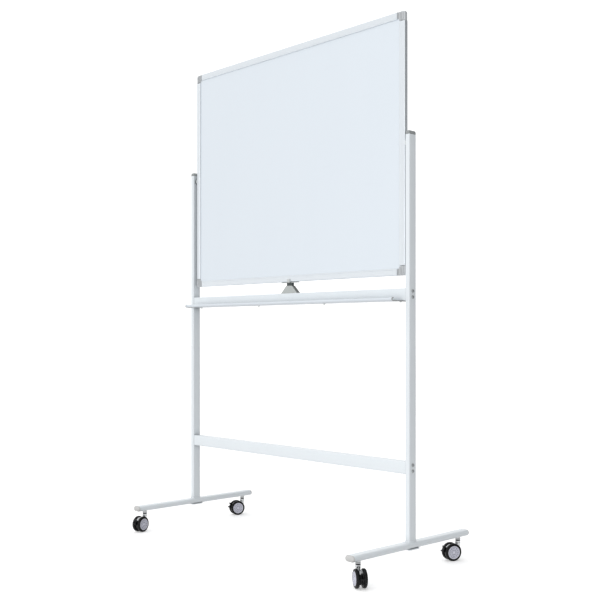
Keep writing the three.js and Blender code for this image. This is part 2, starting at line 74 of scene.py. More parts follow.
# ---- sizes, in millimetres

# Between pieces that touch.
GAP = 0.3
POST_WALL = 1.5
POST_RADIUS = 2.5
POST_CAP_RIM = 5.0
POST_CAP_CROWN = 8.2
POST_PLUG = (14.4, 31.4)
CROSSBAR_RADIUS = 3.0
FOOT_WALL = 1.6
FOOT_CAP_RIM = 0.9
FOOT_CAP_CROWN = 7.2
FOOT_PLUG_DEPTH = 13
FOOT_PLATE_THICKNESS = 3.6
FOOT_BOLT_SPACING = 18
TRAY_FRONT = -70.0
TRAY_SHEET = 1.2
TRAY_LIP_RADIUS = 5.6
TRAY_LIP_SWEEP = 215
TRAY_TRIM_REAR = 13.6
SCREW_HEAD_RADIUS = 4.9
SCREW_CROWN = 2.4
BOLT_HEAD_RADIUS = 5.2
BOLT_SPACING = 20
INSERT_SECTION = (27.4, 38.4)
RAIL_FACE = 25.0
RAIL_RADIUS = 3.0
RAIL_SLOT_DEPTH = 12.0
RAIL_SLOT_WIDTH = 10.6
CORNER_CHAMFER = 13.0
CORNER_RADIUS = 9.0
CORNER_RIBS = 4
CORNER_RIB_START = 4.4
CORNER_RIB_PITCH = 7.0
CORNER_RIB_WIDTH = 3.8
CORNER_RIB_RISE = 1.5
BRACKET_SHEET = 2.0
LATCH_BLOCK_WIDTH = 27.0
WING_THICKNESS = 3.0
PRONG_THICKNESS = 3.0
SPRING_WIRE = 0.6
SPRING_TURNS = 5
WHEEL_WIDTH = 12.7
WHEEL_INNER_FACE = 6.3
TYRE_FACE = 8.3
DISC_DEPTH = 2.4
AXLE_RADIUS = 3.0
AXLE_HALF_LENGTH = 15.4
STRAP_RADIUS = 27.0
STRAP_HALF_WIDTH = 5.6
PEDAL_PLATE = (1.6, 4.9)
PEDAL_TILT = 8

# ---- studio, in metres and degrees

SMOOTH_BELOW = 32
CAMERA_AZIMUTH = 46.5
CAMERA_DISTANCE = 3.612
CAMERA_LENS_MM = 57.4
CAMERA_SHIFT = 0.056
CAMERA_AIM_X = 0.053
EYE_HEIGHT_SHARE = 0.4235
# How the surround dims: towards a direction, from one cosine to another, down to a fraction.
SURROUND_DIMMING = (
    ((0.76, 0.60, 0.26), 0.15, 0.80, 0.34),
    ((-0.7, -0.7, 0.0), 0.30, 0.95, 0.86),
    ((0.0, 0.0, -1.0), 0.08, 0.55, 0.55),
    ((0.2, 0.68, 0.70), 0.75, 0.97, 0.30),
)
SURROUND_STRENGTH = 1.28


def node_box(node):
    low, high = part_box(node)
    return low / MM, high / MM


def node_centre(node):
    low, high = node_box(node)
    return (low + high) / 2


# ---- outlines: lists of (u, v) points

def rounded_rectangle(width, height, radius, steps=6):
    points = []
    for corner, (side_u, side_v) in enumerate(((1, 1), (-1, 1), (-1, -1), (1, -1))):
        for step in range(steps + 1):
            angle = (corner + step / steps) * math.pi / 2
            u = side_u * (width / 2 - radius) + radius * math.cos(angle)
            v = side_v * (height / 2 - radius) + radius * math.sin(angle)
            points.append((u, v))
    return points


def rectangle_family(width, height, radius, steps=6):
    """A function that gives the rounded rectangle moved in by an inset."""
    def outline(inset):
        return rounded_rectangle(width - 2 * inset, height - 2 * inset, max(radius - inset, 0.05), steps)
    return outline


def circle(radius, sides):
    turns = [2 * math.pi * i / sides for i in range(sides)]
    return [(radius * math.cos(turn), radius * math.sin(turn)) for turn in turns]


def circle_family(radius, sides=40):
    def outline(inset):
        return circle(radius - inset, sides)
    return outline


def hexagon_family(across_flats):
    """A hexagon with slightly broken corners."""
    def outline(inset):
        return soften(circle((across_flats / 2 - inset) / math.cos(math.pi / 6), 6), 0.5)
    return outline


def arc(centre, radius, start, end, steps):
    """Points on an arc; the angles are in degrees."""
    points = []
    for step in range(steps + 1):
        angle = math.radians(start + (end - start) * step / steps)
        points.append((centre[0] + radius * math.cos(angle), centre[1] + radius * math.sin(angle)))
    return points


def soften(points, radius, steps=3, closed=True):
    """Rounds each corner of a polygon or an open line."""
    softened = []
    count = len(points)
    for i, point in enumerate(points):
        if not closed and i in (0, count - 1):
            softened.append(point)
            continue
        here = Vector(point)
        before = Vector(points[i - 1]) - here
        after = Vector(points[(i + 1) % count]) - here
        reach = min(radius, before.length * 0.45, after.length * 0.45)
        start = here + before.normalized() * reach
        end = here + after.normalized() * reach
        for step in range(steps + 1):
            t = step / steps
            softened.append(tuple(start * (1 - t) ** 2 + here * 2 * t * (1 - t) + end * t ** 2))
    return softened


def fixed_outline(points):
    """Wraps an outline so that an inset pulls it towards its own centre."""
    centre_u = (min(p[0] for p in points) + max(p[0] for p in points)) / 2
    centre_v = (min(p[1] for p in points) + max(p[1] for p in points)) / 2
    half_u = max(p[0] for p in points) - centre_u
    half_v = max(p[1] for p in points) - centre_v

    def outline(inset):
        scale_u = 1 - inset / half_u
        scale_v = 1 - inset / half_v
        return [(centre_u + (u - centre_u) * scale_u, centre_v + (v - centre_v) * scale_v)
                for u, v in points]
    return outline


# ---- solids

AXES = {
    "x": lambda u, v, w: Vector((w, u, v)),
    "y": lambda u, v, w: Vector((u, w, v)),
    "z": lambda u, v, w: Vector((u, v, w)),
}


def placed(points, along, axis, at=(0, 0)):
    """Sets an outline's points at a place along an axis."""
    return [AXES[axis](u + at[0], v + at[1], along) for u, v in points]


def loft(rings, loops=False):
    """Joins rings of points with quads. The ends are capped, or with loops the last ring joins the first."""
    mesh = bmesh.new()
    rows = [[mesh.verts.new(point) for point in ring] for ring in rings]
    count = len(rows[0])
    spans = list(zip(rows, rows[1:]))
    if loops:
        spans.append((rows[-1], rows[0]))
    for lower, upper in spans:
        for i in range(count):
            j = (i + 1) % count
            mesh.faces.new((lower[i], lower[j], upper[j], upper[i]))
    if not loops:
        mesh.faces.new(rows[0])
        mesh.faces.new(rows[-1])
    bmesh.ops.remove_doubles(mesh, verts=mesh.verts, dist=1e-4)
    bmesh.ops.recalc_face_normals(mesh, faces=mesh.faces)
    return mesh


def prism(outline, start, end, axis, edge=0.5, steps=3, at=(0, 0)):
    """A solid bar of an outline family, its two ends rounded over by edge."""
    rings = []
    for place, direction in ((start, 1), (end, -1)):
        ring_set = []
        for step in range(steps + 1):
            angle = step / steps * math.pi / 2
            inset = edge * (1 - math.sin(angle))
            along = place + direction * edge * (1 - math.cos(angle))
            ring_set.append(placed(outline(inset), along, axis, at))
        rings.extend(ring_set if direction > 0 else reversed(ring_set))
    return loft(rings)


def tube(outline, wall, start, end, axis, edge=0.35, at=(0, 0)):
    """A hollow bar, open at both ends, with slightly broken end edges."""
    path = (
        (edge, start), (0, start + edge), (0, end - edge), (edge, end),
        (wall, end), (wall, start),
    )
    return loft([placed(outline(inset), along, axis, at) for inset, along in path], loops=True)


def dome(outline, start, rim, height, reach, axis, direction=1, at=(0, 0), steps=7):
    """A cap: a straight rim, then an elliptical crown that closes in by reach."""
    profile = [(0.0, start), (0.0, start + direction * rim)]
    for step in range(1, steps + 1):
        angle = step / steps * math.pi / 2
        profile.append((reach * (1 - math.cos(angle)), start + direction * (rim + height * math.sin(angle))))
    return loft([placed(outline(inset), along, axis, at) for inset, along in profile])


def lathe(profile, axis="z", segments=48, at=(0, 0)):
    """Turns a line of (radius, along) points, which starts and ends on the axis, into a solid."""
    nearly_zero = 1e-5
    return loft([placed(circle(max(radius, nearly_zero), segments), along, axis, at)
                 for radius, along in profile])


def turned_ring(profile, axis="z", segments=48):
    """Turns a closed (radius, along) outline that stays off the axis into a ring."""
    return loft([placed(circle(radius, segments), along, axis) for radius, along in profile], loops=True)


def block(low, high, radius=0.6):
    """A box with rounded edges between two corners."""
    size = Vector(high) - Vector(low)
    centre = (Vector(low) + Vector(high)) / 2
    outline = rectangle_family(size.x, size.y, radius, 3)
    return prism(outline, low[2], high[2], "z", radius, 3, at=(centre.x, centre.y))


def sweep(points, radius, sides=10):
    """A round wire along a line of points."""
    rings = []
    for i, point in enumerate(points):
        tangent = (points[min(i + 1, len(points) - 1)] - points[max(i - 1, 0)]).normalized()
        across = tangent.cross(Vector((0, 0, 1))).normalized()
        upward = across.cross(tangent)
        rings.append([point + radius * (across * math.cos(2 * math.pi * s / sides)
                                        + upward * math.sin(2 * math.pi * s / sides)) for s in range(sides)])
    return loft(rings)


def moved(mesh, matrix):
    bmesh.ops.transform(mesh, matrix=matrix, verts=mesh.verts)
    return mesh


def shifted(mesh, x=0.0, y=0.0, z=0.0):
    return moved(mesh, Matrix.Translation((x, y, z)))


def half_turn(side):
    """Turns what is built for the right side to the left."""
    return Matrix.Rotation(math.pi if side < 0 else 0, 4, "Z")


# ---- pieces

def make_piece(name, parts, body, replaces, matrix=None):
    """One object from (bmesh, material name) parts, riding on a body and standing for its CAD nodes."""
    whole = bmesh.new()
    data = bpy.data.meshes.new(name)
    for index, (part, material) in enumerate(parts):
        for face in part.faces:
            face.material_index = index
            face.smooth = True
        holder = bpy.data.meshes.new(name + "_part")
        part.to_mesh(holder)
        part.free()
        whole.from_mesh(holder)
        bpy.data.meshes.remove(holder)
        data.materials.append(MATERIALS[material])
    placing = matrix or Matrix.Identity(4)
    bmesh.ops.transform(whole, matrix=Matrix.Scale(MM, 4) @ placing, verts=whole.verts)
    whole.to_mesh(data)
    whole.free()
    data.set_sharp_from_angle(angle=math.radians(SMOOTH_BELOW))
    made = bpy.data.objects.new(name, data)
    bpy.context.scene.collection.objects.link(made)
    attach(made, body)
    if replaces:
        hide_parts(*replaces)
    return made


# ---- materials

def set_range(node, *levels):
    for socket, level in zip(("From Min", "From Max", "To Min", "To Max"), levels):
        node.inputs[socket].default_value = level


class Shader:
    """A small wrapper that builds one procedural Principled material in object coordinates."""

    def __init__(self, name, base, roughness, metallic=0.0, **sockets):
        self.material = bpy.data.materials.new(name)
        self.material.use_nodes = True
        self.nodes = self.material.node_tree.nodes
        self.links = self.material.node_tree.links
        self.shader = self.nodes["Principled BSDF"]
        self.color = None
        self.rough = None
        self.normal = None
        self.base = (*base, 1.0)
        self.base_roughness = roughness
        self.shader.inputs["Base Color"].default_value = self.base
        self.shader.inputs["Roughness"].default_value = roughness
        self.shader.inputs["Metallic"].default_value = metallic
        for socket, value in sockets.items():
            self.shader.inputs[socket.replace("_", " ")].default_value = value
        self.coordinates = self.nodes.new("ShaderNodeTexCoord").outputs["Object"]

    def link(self, source, target):
        self.links.new(source, target)

    def stretched(self, stretch):
        node = self.nodes.new("ShaderNodeMapping")
        node.inputs["Scale"].default_value = stretch
        self.link(self.coordinates, node.inputs["Vector"])
        return node.outputs["Vector"]

    def noise(self, scale, detail, stretch=(1, 1, 1)):
        node = self.nodes.new("ShaderNodeTexNoise")
        node.inputs["Scale"].default_value = scale
        node.inputs["Detail"].default_value = detail
        node.inputs["Roughness"].default_value = 0.55
        self.link(self.stretched(stretch), node.inputs["Vector"])
        return node.outputs["Fac"]

    def cells(self, scale):
        node = self.nodes.new("ShaderNodeTexVoronoi")
        node.inputs["Scale"].default_value = scale
        self.link(self.stretched((1, 1, 1)), node.inputs["Vector"])
        return node.outputs["Distance"]

    def ramp(self, source, low, high, to_low=0.0, to_high=1.0):
        node = self.nodes.new("ShaderNodeMapRange")
        set_range(node, low, high, to_low, to_high)
        self.link(source, node.inputs["Value"])
        return node.outputs["Result"]

    def math(self, operation, first, second):
        node = self.nodes.new("ShaderNodeMath")
        node.operation = operation
        for socket, value in zip(node.inputs, (first, second)):
            if isinstance(value, (int, float)):
                socket.default_value = value
            else:
                self.link(value, socket)
        return node.outputs["Value"]

    def occlusion_shade(self, reach, amount):
        """A mask that is high where another surface stands closer than the reach, in metres, used to paint
        shade into a colour.
        """
        node = self.nodes.new("ShaderNodeAmbientOcclusion")
        node.samples = 6
        node.inputs["Distance"].default_value = reach
        return self.ramp(node.outputs["AO"], 0.95, 0.25, 0.0, amount)

    def height_above_floor(self):
        node = self.nodes.new("ShaderNodeSeparateXYZ")
        self.link(self.coordinates, node.inputs["Vector"])
        return node.outputs["Z"]

    def tint(self, mask, color):
        """Mixes another colour in where the mask is high."""
        node = self.nodes.new("ShaderNodeMix")
        node.data_type = "RGBA"
        if self.color is None:
            node.inputs["A"].default_value = self.base
        else:
            self.link(self.color, node.inputs["A"])
        node.inputs["B"].default_value = (*color, 1.0)
        self.link(mask, node.inputs["Factor"])
        self.color = node.outputs["Result"]
        return self

    def vary_roughness(self, mask, amount):
        """Adds the mask, centred on a half, to the roughness."""
        current = self.rough if self.rough is not None else self.base_roughness
        change = self.math("MULTIPLY", self.math("SUBTRACT", mask, 0.5), amount)
        self.rough = self.math("ADD", current, change)
        return self

    def bump(self, height, strength, distance):
        node = self.nodes.new("ShaderNodeBump")
        node.inputs["Strength"].default_value = strength
        node.inputs["Distance"].default_value = distance
        self.link(height, node.inputs["Height"])
        if self.normal is not None:
            self.link(self.normal, node.inputs["Normal"])
        self.normal = node.outputs["Normal"]
        return self

    def done(self):
        if self.color is not None:
            self.link(self.color, self.shader.inputs["Base Color"])
        if self.rough is not None:
            self.link(self.rough, self.shader.inputs["Roughness"])
        if self.normal is not None:
            self.link(self.normal, self.shader.inputs["Normal"])
        return self.material


def powder_coat(name, base, mottled):
    """White powder coat: orange peel, dust mottling, painted shade in the joints and gaps, and scuffs near
    the floor.
    """
    s = Shader(name, base, 0.42, Coat_Weight=0.15, Coat_Roughness=0.25)
    s.tint(s.ramp(s.noise(9, 4), 0.35, 0.7, 0.0, 0.35), mottled)
    low_zone = s.ramp(s.height_above_floor(), 0.13, 0.02, 0.0, 1.0)
    scuffs = s.ramp(s.noise(160, 5, (1, 0.12, 1)), 0.6, 0.66, 0.0, 1.0)
    s.tint(s.math("MULTIPLY", s.math("MULTIPLY", low_zone, scuffs), 0.4), (0.42, 0.42, 0.41))
    # Painted shade: a dark blue-grey blended in wherever another part stands within 30 mm.
    s.tint(s.occlusion_shade(0.03, 0.75), (0.30, 0.32, 0.335))
    s.vary_roughness(s.noise(35, 4), 0.16)
    s.bump(s.noise(900, 2), 0.16, 0.0004)
    s.bump(s.noise(180, 2), 0.05, 0.0008)
    return s.done()


def drawn_aluminium(name, along):
    """Satin anodised extrusion with draw lines along its length."""
    across = {"x": (0.01, 1, 1), "z": (1, 1, 0.01)}[along]
    s = Shader(name, (0.708, 0.748, 0.783), 0.33, 1.0)
    lines = s.noise(2600, 4, across)
    s.tint(s.ramp(lines, 0.35, 0.7, 0.0, 0.3), (0.63, 0.67, 0.71))
    s.vary_roughness(lines, 0.16)
    s.vary_roughness(s.noise(22, 3), 0.08)
    s.bump(lines, 0.10, 0.0002)
    return s.done()


def enamel():
    """Glossy white writing surface with a slight waviness and wiped-off haze."""
    s = Shader("enamel_sheet", (0.71, 0.77, 0.83), 0.14, Coat_Weight=0.5, Coat_Roughness=0.05)
    wipes = s.noise(5, 5, (1, 1, 0.35))
    s.tint(s.ramp(wipes, 0.45, 0.8, 0.0, 0.35), (0.685, 0.745, 0.81))
    s.tint(s.ramp(s.noise(60, 4, (0.2, 1, 1)), 0.62, 0.75, 0.0, 0.12), (0.66, 0.70, 0.76))
    s.vary_roughness(wipes, 0.14)
    s.bump(s.noise(14, 2), 0.05, 0.002)
    s.bump(s.noise(1200, 2), 0.03, 0.0001)
    return s.done()


def honeycomb_board():
    s = Shader("honeycomb_core", (0.42, 0.31, 0.18), 0.9)
    s.tint(s.ramp(s.cells(160), 0.1, 0.5, 0.0, 0.6), (0.30, 0.22, 0.12))
    s.bump(s.noise(700, 4), 0.4, 0.0005)
    return s.done()


def moulded_plastic(name, base, darker, roughness=0.5):
    """Fine spark-eroded grain with handling shine, and painted shade in the grooves."""
    s = Shader(name, base, roughness)
    s.tint(s.ramp(s.noise(45, 4), 0.4, 0.7, 0.0, 0.6), darker)
    # Painted shade: the darker tone, darkened further, blended in at the bottom of grooves and between ribs.
    s.tint(s.occlusion_shade(0.005, 0.8), tuple(0.4 * level for level in darker))
    s.vary_roughness(s.noise(60, 3), 0.2)
    s.bump(s.noise(2200, 3), 0.3, 0.0003)
    return s.done()


def zinc_steel(name, base, roughness, darker):
    """Plated sheet: soft spangle, rolling lines and a little tarnish."""
    s = Shader(name, base, roughness, 0.95)
    s.tint(s.ramp(s.cells(260), 0.2, 0.6, 0.0, 0.4), darker)
    s.vary_roughness(s.noise(90, 4), 0.22)
    s.bump(s.noise(1500, 3, (1, 1, 0.15)), 0.12, 0.0002)
    return s.done()


def chrome():
    s = Shader("chrome", (0.52, 0.53, 0.54), 0.16, 1.0)
    s.tint(s.ramp(s.noise(120, 4), 0.5, 0.75, 0.0, 0.5), (0.40, 0.40, 0.39))
    s.vary_roughness(s.noise(200, 4), 0.18)
    s.bump(s.noise(350, 2), 0.06, 0.0003)
    return s.done()


def tyre_rubber():
    """Black tread with a little floor dust and fine running scratches."""
    s = Shader("tyre_black", (0.003, 0.0032, 0.0036), 0.42, Specular_IOR_Level=0.2)
    s.tint(s.ramp(s.noise(110, 5), 0.58, 0.8, 0.0, 0.3), (0.024, 0.0235, 0.022))
    s.vary_roughness(s.noise(70, 4), 0.25)
    s.bump(s.noise(1600, 3), 0.2, 0.0003)
    return s.done()


def hub_plastic(name, base, darker):
    s = Shader(name, base, 0.40)
    s.tint(s.ramp(s.noise(70, 4), 0.4, 0.75, 0.0, 0.6), darker)
    s.vary_roughness(s.noise(90, 3), 0.2)
    s.bump(s.noise(1800, 3), 0.25, 0.0003)
    return s.done()


def caster_plastic():
    """Black glass-filled nylon with a soft sheen and scuffed high spots."""
    s = Shader("caster_black", (0.004, 0.0044, 0.005), 0.34, Specular_IOR_Level=0.22)
    s.tint(s.ramp(s.noise(240, 4), 0.62, 0.75, 0.0, 0.3), (0.026, 0.026, 0.026))
    s.vary_roughness(s.noise(120, 4), 0.24)
    s.bump(s.noise(2000, 3), 0.2, 0.0003)
    return s.done()


MATERIALS = {
    "powder": powder_coat("powder_coat", (0.765, 0.812, 0.846), (0.72, 0.765, 0.80)),
    "tray": powder_coat("tray_coat", (0.66, 0.71, 0.76), (0.62, 0.67, 0.72)),
    "rail_x": drawn_aluminium("aluminium_level", "x"),
    "rail_z": drawn_aluminium("aluminium_upright", "z"),
    "enamel": enamel(),
    "core": honeycomb_board(),
    "grey": moulded_plastic("grey_plastic", (0.54, 0.562, 0.58), (0.47, 0.488, 0.505), 0.36),
    "cap_grey": moulded_plastic("cap_grey", (0.31, 0.33, 0.332), (0.25, 0.265, 0.268)),
    # Dark grey for the tray's end trims, partly painted shade under the tray.
    "trim": moulded_plastic("trim_and_shade_grey", (0.36, 0.365, 0.365), (0.29, 0.295, 0.295)),
    "warm_grey": moulded_plastic("warm_grey", (0.56, 0.56, 0.555), (0.49, 0.49, 0.485)),
    "dark": moulded_plastic("dark_plastic", (0.055, 0.07, 0.068), (0.035, 0.045, 0.044), 0.42),
    "zinc": zinc_steel("zinc_plate", (0.60, 0.62, 0.615), 0.36, (0.50, 0.52, 0.52)),
    "black_zinc": zinc_steel("black_zinc", (0.10, 0.105, 0.11), 0.38, (0.06, 0.063, 0.066)),
    "bolt": zinc_steel("bolt_zinc", (0.36, 0.38, 0.39), 0.42, (0.25, 0.26, 0.27)),
    "bracket": zinc_steel("bracket_zinc", (0.47, 0.495, 0.487), 0.34, (0.40, 0.42, 0.414)),
    "chrome": chrome(),
    "caster": caster_plastic(),
    "tyre": tyre_rubber(),
    "hub": hub_plastic("hub_grey", (0.66, 0.665, 0.75), (0.58, 0.585, 0.66)),
    # The hub grey darkened, as painted shade for the wheel disc's recessed floor.
    "hub_floor": hub_plastic("hub_floor_shade_grey", (0.37, 0.375, 0.44), (0.31, 0.315, 0.37)),
}


def dress_node(node, material):
    """Gives a carried-over CAD node a finished material."""
    slots = frame["nodes"][node].data.materials
    slots.clear()
    slots.append(MATERIALS[material])


# ---- stand

def post_outline():
    low, high = node_box("right_post")
    return rectangle_family(high.x - low.x, high.y - low.y, POST_RADIUS)


def build_post(side_name):
    node = f"{side_name}_post"
    low, high = node_box(node)
    x = (low.x + high.x) / 2
    upright = tube(post_outline(), POST_WALL, low.z, high.z, "z", at=(x, 0))
    make_piece(f"{node}_tube", [(upright, "powder")], "stand", [node])
    build_weld(side_name, x, low.z)


def build_weld(side_name, x, z):
    """The painted weld bead where the post meets the foot."""
    low, high = node_box("right_post")
    width = high.x - low.x
    depth = high.y - low.y
    rings = []
    for out, up in ((2.6, -2.2), (2.4, 0.2), (1.3, 1.9), (0.2, 3.4), (-0.9, 3.6)):
        outline = rounded_rectangle(width + 2 * out, depth + 2 * out, POST_RADIUS + out, 6)
        ripple = []
        for i, (u, v) in enumerate(outline):
            swell = 1 + 0.012 * math.sin(i * 2.4)
            ripple.append(Vector((x + u * swell, v * swell, z + up)))
        rings.append(ripple)
    make_piece(f"{side_name}_post_weld", [(loft(rings), "powder")], "stand", ())


def build_post_cap(side_name):
    node = f"{side_name}_post_cap"
    centre = node_centre(node)
    seat = node_box(f"{side_name}_post")[1].z
    at = (centre.x, 0)
    crown = dome(post_outline(), seat + GAP, POST_CAP_RIM, POST_CAP_CROWN, 8.4, "z", at=at, steps=12)
    plug = prism(rectangle_family(*POST_PLUG, 1.0), node_box(node)[0].z, seat + 2.0, "z", 0.4, at=at)
    make_piece(f"{node}_moulding", [(crown, "cap_grey"), (plug, "cap_grey")],
               "stand", [node])


def build_crossbar(node):
    low, high = node_box(node)
    outline = rectangle_family(high.y - low.y, high.z - low.z, CROSSBAR_RADIUS)
    bar = tube(outline, POST_WALL, low.x, high.x, "x", at=(0, (low.z + high.z) / 2))
    make_piece(f"{node}_tube", [(bar, "powder")], "stand", [node])


def button_head(radius, height, socket_radius):
    """A domed bolt head with a hexagon socket, its underside at zero and its crown along +X."""
    sides = 48
    crown = []
    for step in range(7):
        angle = step / 6 * math.pi / 2
        crown.append((radius - (radius - socket_radius - 0.6) * (1 - math.cos(angle)),
                      0.7 + (height - 0.7) * math.sin(angle)))
    outside = [(0.01, 0.0), (radius - 0.3, 0.0), (radius, 0.3), *crown]
    rings = [placed(circle(ring_radius, sides), along, "x") for ring_radius, along in outside]
    hexagon = math.pi / 3
    for depth, shrink in ((height, 1.0), (height - 0.25, 0.94), (height - 1.9, 0.92), (height - 2.3, 0.02)):
        ring = []
        for i in range(sides):
            angle = 2 * math.pi * i / sides
            flat = math.cos(math.pi / 6) / math.cos((angle % hexagon) - math.pi / 6)
            ring.append(AXES["x"](socket_radius * shrink * flat * math.cos(angle),
                                  socket_radius * shrink * flat * math.sin(angle), depth))
        rings.append(ring)
    return loft(rings)


def washer(outer, inner, thickness, axis="x"):
    return turned_ring(soften([(inner, 0), (outer, 0), (outer, thickness), (inner, thickness)], 0.2), axis)


def build_bolts(node):
    side = -1 if "left" in node else 1
    centre = node_centre(node)
    post_low, post_high = node_box(f"{'left' if side < 0 else 'right'}_post")
    outer_face = max(abs(post_low.x), abs(post_high.x))
    inner_face = min(abs(post_low.x), abs(post_high.x))
    low, high = node_box(node)
    insert_end = min(abs(low.x), abs(high.x))
    insert = prism(rectangle_family(*INSERT_SECTION, 1.2), insert_end, inner_face - 0.6, "x", 0.5)
    parts = [(insert, "black_zinc")]
    for height in (-BOLT_SPACING / 2, BOLT_SPACING / 2):
        head = shifted(button_head(BOLT_HEAD_RADIUS, 3.3, 2.3), outer_face + 0.35, 0, height)
        disc = shifted(washer(BOLT_HEAD_RADIUS + 1.3, 2.6, 0.7), outer_face + 0.02, 0, height)
        shank = prism(circle_family(3.0, 24), inner_face - 4, outer_face + 0.5, "x", 0.2, at=(0, height))
        parts.extend([(head, "bolt"), (disc, "zinc"), (shank, "zinc")])
    turn = Matrix.Translation((0, 0, centre.z)) @ half_turn(side)
    make_piece(f"{node}_set", parts, "stand", [node], turn)


def build_foot(side_name):
    node = f"{side_name}_foot"
    low, high = node_box(node)
    centre = (low + high) / 2
    outline = rectangle_family(high.x - low.x, high.z - low.z, (high.z - low.z) / 2 - 0.01, 10)
    bar = tube(outline, FOOT_WALL, low.y, high.y, "y", at=(centre.x, centre.z))
    make_piece(f"{node}_tube", [(bar, "powder")], "stand", [node])


def build_foot_cap(end_name, side_name):
    node = f"{end_name}_{side_name}_foot_cap"
    foot_low, foot_high = node_box(f"{side_name}_foot")
    centre = node_centre(node)
    direction = -1 if end_name == "front" else 1
    start = foot_low.y - GAP if direction < 0 else foot_high.y + GAP
    width = foot_high.x - foot_low.x
    height = foot_high.z - foot_low.z
    outline = rectangle_family(width, height, height / 2 - 0.01, 10)
    at = (centre.x, centre.z)
    crown = dome(outline, start, FOOT_CAP_RIM, FOOT_CAP_CROWN, 10.3, "y", direction, at, 14)
    plug_outline = rectangle_family(width - 3.9, height - 3.9, height / 2 - 2, 10)
    ends = sorted((start + direction, start - direction * FOOT_PLUG_DEPTH))
    plug = prism(plug_outline, ends[0], ends[1], "y", 0.6, at=at)
    make_piece(f"{node}_moulding", [(crown, "warm_grey"), (plug, "warm_grey")],
               "stand", [node])


def build_foot_plate(side_name):
    node = f"{side_name}_foot_plate"
    low, high = node_box(node)
    x = (low.x + high.x) / 2
    top = node_box(f"{side_name}_foot")[0].z - GAP
    outline = rectangle_family(high.x - low.x, high.y - low.y, 4.0)
    plate = prism(outline, top - FOOT_PLATE_THICKNESS, top, "z", 0.5, at=(x, 0))
    parts = [(plate, "powder")]
    for y in (-FOOT_BOLT_SPACING / 2, FOOT_BOLT_SPACING / 2):
        bolt_head = prism(hexagon_family(9.4), low.z, low.z + 2.6, "z", 0.4, at=(x, y))
        stud = prism(circle_family(3.0, 24), top - 1, high.z, "z", 0.6, at=(x, y))
        disc = shifted(washer(5.9, 3.1, 0.6, "z"), x, y, top - 4.1)
        parts.extend([(bolt_head, "zinc"), (stud, "zinc"), (disc, "zinc")])
    make_piece(f"{node}_set", parts, "stand", [node])


# ---- pen tray

def tray_outline(below=0.0, grow=0.0):
    """The tray's section in (y, z), drawn thicker below the sheet and about the roll for its end trims."""
    rear = node_box("pen_tray")[1].y
    bottom = node_box("upper_crossbar")[0].z - GAP - TRAY_SHEET
    centre = (TRAY_FRONT + TRAY_LIP_RADIUS, bottom + TRAY_LIP_RADIUS)
    finish = 270 - TRAY_LIP_SWEEP
    points = [(rear, bottom - below), (rear - 0.3, bottom - below)]
    points += arc(centre, TRAY_LIP_RADIUS + grow, 270, finish, 26)
    points += arc(centre, TRAY_LIP_RADIUS - TRAY_SHEET - grow, finish, 270, 26)
    points += [(rear - 0.3, bottom + TRAY_SHEET), (rear, bottom + TRAY_SHEET)]
    return points


def build_tray():
    half_length = node_box("pen_tray")[1].x - 1.0
    outline = tray_outline()
    ends = (-half_length, 0.3 - half_length, half_length - 0.3, half_length)
    rings = [[Vector((x, y, z)) for y, z in outline] for x in ends]
    make_piece("pen_tray_sheet", [(loft(rings), "tray")], "stand", ["pen_tray"])
    # The end trims are dark grey plastic; the strip beneath each, reaching back under the crossbar, is
    # painted shade under the tray's ends.
    trim_outline = tray_outline(1.6, 0.9)
    low = min(z for y, z in trim_outline)
    for name, side in SIDES.items():
        rings = [[Vector((side * x, y, z)) for y, z in trim_outline]
                 for x in (half_length - 1.0, half_length - 0.7, half_length + 0.7, half_length + 1.0)]
        shade_strip = block((half_length - 4, TRAY_FRONT + 2 * TRAY_LIP_RADIUS, low),
                    (half_length, TRAY_TRIM_REAR, low + 1.5), 0.3)
        if side < 0:
            moved(shade_strip, Matrix.Rotation(math.pi, 4, "Z") @ Matrix.Diagonal((1, -1, 1, 1)))
            bmesh.ops.recalc_face_normals(shade_strip, faces=shade_strip.faces)
        make_piece(f"{name}_tray_trim", [(loft(rings), "trim"), (shade_strip, "trim")],
                   "stand", ())


def build_tray_screw(number):
    """A pan-head screw from below, with a round recess."""
    node = f"tray_screw_{number}"
    low, high = node_box(node)
    centre = (low + high) / 2
    seat = node_box("pen_tray")[0].z - 0.05
    crown = [(SCREW_HEAD_RADIUS, seat - 0.3)]
    for step in range(1, 7):
        angle = step / 6 * math.pi / 2
        crown.append((SCREW_HEAD_RADIUS - SCREW_CROWN * (1 - math.cos(angle)),
                      seat - 0.3 - SCREW_CROWN * math.sin(angle)))
    profile = [(0, seat), (4.6, seat), *crown, (1.7, seat - 2.7), (1.3, seat - 1.4), (0, seat - 1.1)]
    head = lathe(profile, "z", 32, at=(centre.x, centre.y))
    thread = []
    turns = 8
    for i in range(turns + 1):
        z = seat - 0.2 + (high.z - seat - 0.8) * i / turns
        thread.extend([(2.05, z), (1.7, z + 0.45)])
    shank = lathe([(0, seat - 0.2), *thread, (0, high.z)], "z", 24, at=(centre.x, centre.y))
    parts = [(head, "zinc"), (shank, "zinc")]
    make_piece(f"{node}_panhead", parts, "stand", [node])


# ---- latch

def bracket_section(half_width, depth):
    """The bracket's plan: a front wall and two side walls, bent with a small radius."""
    bend = 2.6
    outer = soften([(-half_width, depth / 2), (-half_width, -depth / 2),
                    (half_width, -depth / 2), (half_width, depth / 2)], bend, 4, closed=False)
    inner_half = half_width - BRACKET_SHEET
    inner = soften([(-inner_half, depth / 2), (-inner_half, BRACKET_SHEET - depth / 2),
                    (inner_half, BRACKET_SHEET - depth / 2), (inner_half, depth / 2)],
                   bend - BRACKET_SHEET + 0.3, 4, closed=False)
    return outer + inner[::-1]


